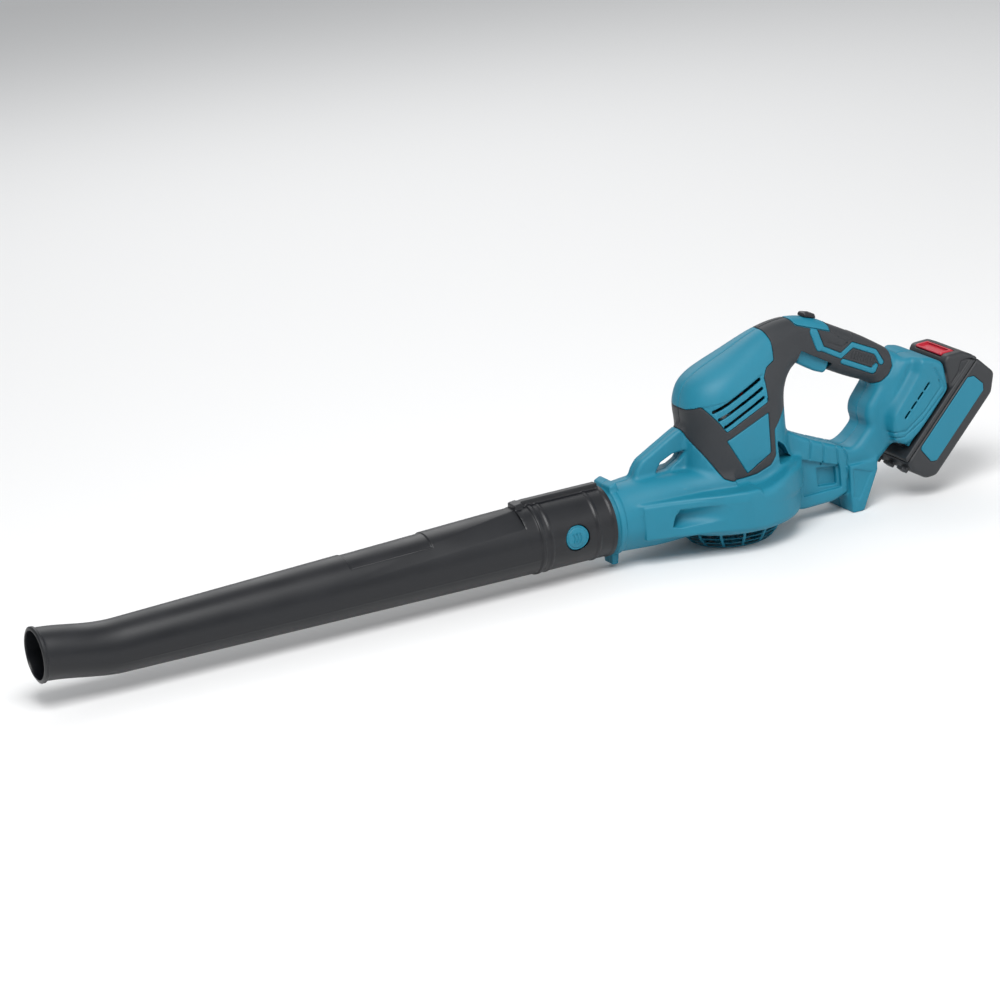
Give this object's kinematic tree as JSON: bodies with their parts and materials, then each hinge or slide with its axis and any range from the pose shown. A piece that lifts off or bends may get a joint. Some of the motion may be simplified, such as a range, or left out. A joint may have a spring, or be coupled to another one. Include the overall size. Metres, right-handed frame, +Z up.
{
  "type": "cordless leaf blower",
  "caption": "Handheld battery leaf blower with a long bent nozzle, round intake housing, looped grip handle and slide-on battery.",
  "frame": {"origin": "on the fan axis at the flat bottom of the intake grille, which the blower stands on", "axes": "+X runs back along the tool's length from the nozzle to the battery, +Y to its right seen from behind the battery, +Z up along the fan axis"},
  "size_m": [1.0415, 0.146, 0.212],
  "materials": {
    "teal_plastic": "fine moulded texture, low sheen",
    "teal_plate": "smooth moulded plate, low sheen",
    "black_plastic": "fine moulded texture, slight sheen",
    "dark_plastic": "fine moulded texture",
    "grip_rubber": "soft overmoulded grip",
    "red_plastic": "smooth moulded, low sheen",
    "fan_plastic": "glass-filled moulding",
    "screw_steel": "zinc plated",
    "spring_steel": "bright wire",
    "zinc_plate": "zinc plated sheet",
    "core_steel": "stacked laminations",
    "copper": "bare copper",
    "brass_blade": "bright blades",
    "ferrite": "sintered block",
    "board_green": "laminate board",
    "lead_red": "insulated lead",
    "lead_black": "insulated lead",
    "cell_sleeve": "shrink sleeve"
  },
  "bodies": {
    "housing": {"housing_left": "teal_plastic", "housing_right": "teal_plastic", "grip_left": "grip_rubber", "grip_right": "grip_rubber", "switch_panel": "teal_plastic", "housing_screws": "screw_steel", "intake_grille": "teal_plastic", "motor_plate": "zinc_plate", "motor_screws": "screw_steel", "motor_can": "zinc_plate", "motor_end_cap": "fan_plastic", "motor_magnets": "ferrite", "bearing_lower": "screw_steel", "bearing_upper": "screw_steel", "carbon_brushes": "ferrite", "motor_ring": "grip_rubber", "switch_unit": "black_plastic", "trigger_spring": "spring_steel", "control_board": "board_green", "motor_leads": "lead_red", "battery_leads": "lead_black", "nozzle_button_cup": "black_plastic", "nozzle_button_spring": "spring_steel", "terminal_block": "black_plastic", "terminal_blades": "brass_blade"},
    "nozzle": {"nozzle_tube": "black_plastic"},
    "nozzle_button": {"nozzle_lock_button": "teal_plastic"},
    "rotor": {"impeller": "fan_plastic", "impeller_nut": "screw_steel", "armature_shaft": "screw_steel", "armature_core": "core_steel", "commutator": "copper"},
    "trigger": {"trigger": "teal_plastic"},
    "slider": {"slider_knob": "black_plastic"},
    "battery": {"battery_case_upper": "dark_plastic", "battery_case_lower": "dark_plastic", "battery_plate_left": "teal_plate", "battery_plate_right": "teal_plate", "battery_cells": "cell_sleeve", "battery_board": "board_green", "release_spring": "spring_steel"},
    "battery_release": {"battery_release_button": "red_plastic", "battery_latch": "black_plastic"}
  },
  "joints": [
    {"name": "nozzle_slide", "type": "slide", "parent": "housing", "child": "nozzle", "axis": [-1, 0, 0], "range_m": [0, 0.08]},
    {"name": "nozzle_button_press", "type": "slide", "parent": "housing", "child": "nozzle_button", "axis": [0, 1, 0], "range_m": [0, 0.004], "stiffness_N_per_m": 1200, "springref_m": -0.002, "deforming": ["nozzle_button_spring"]},
    {"name": "rotor_spin", "type": "hinge", "parent": "housing", "child": "rotor", "pos_m": [0, 0, 0], "axis": [0, 0, 1], "continuous": true},
    {"name": "trigger_pull", "type": "slide", "parent": "housing", "child": "trigger", "axis": [0.5151, 0, 0.8571], "range_m": [0, 0.006], "stiffness_N_per_m": 1000, "springref_m": -0.003, "deforming": ["trigger_spring"]},
    {"name": "speed_slide", "type": "slide", "parent": "housing", "child": "slider", "axis": [0.9564, 0, -0.2921], "range_m": [0, 0.007]},
    {"name": "battery_slide", "type": "slide", "parent": "housing", "child": "battery", "axis": [0.7009, 0, 0.7133], "range_m": [0, 0.08]},
    {"name": "battery_release_press", "type": "slide", "parent": "battery", "child": "battery_release", "axis": [0.7133, 0, -0.7009], "range_m": [0, 0.0035], "stiffness_N_per_m": 1500, "springref_m": -0.002, "deforming": ["release_spring"]}
  ]
}
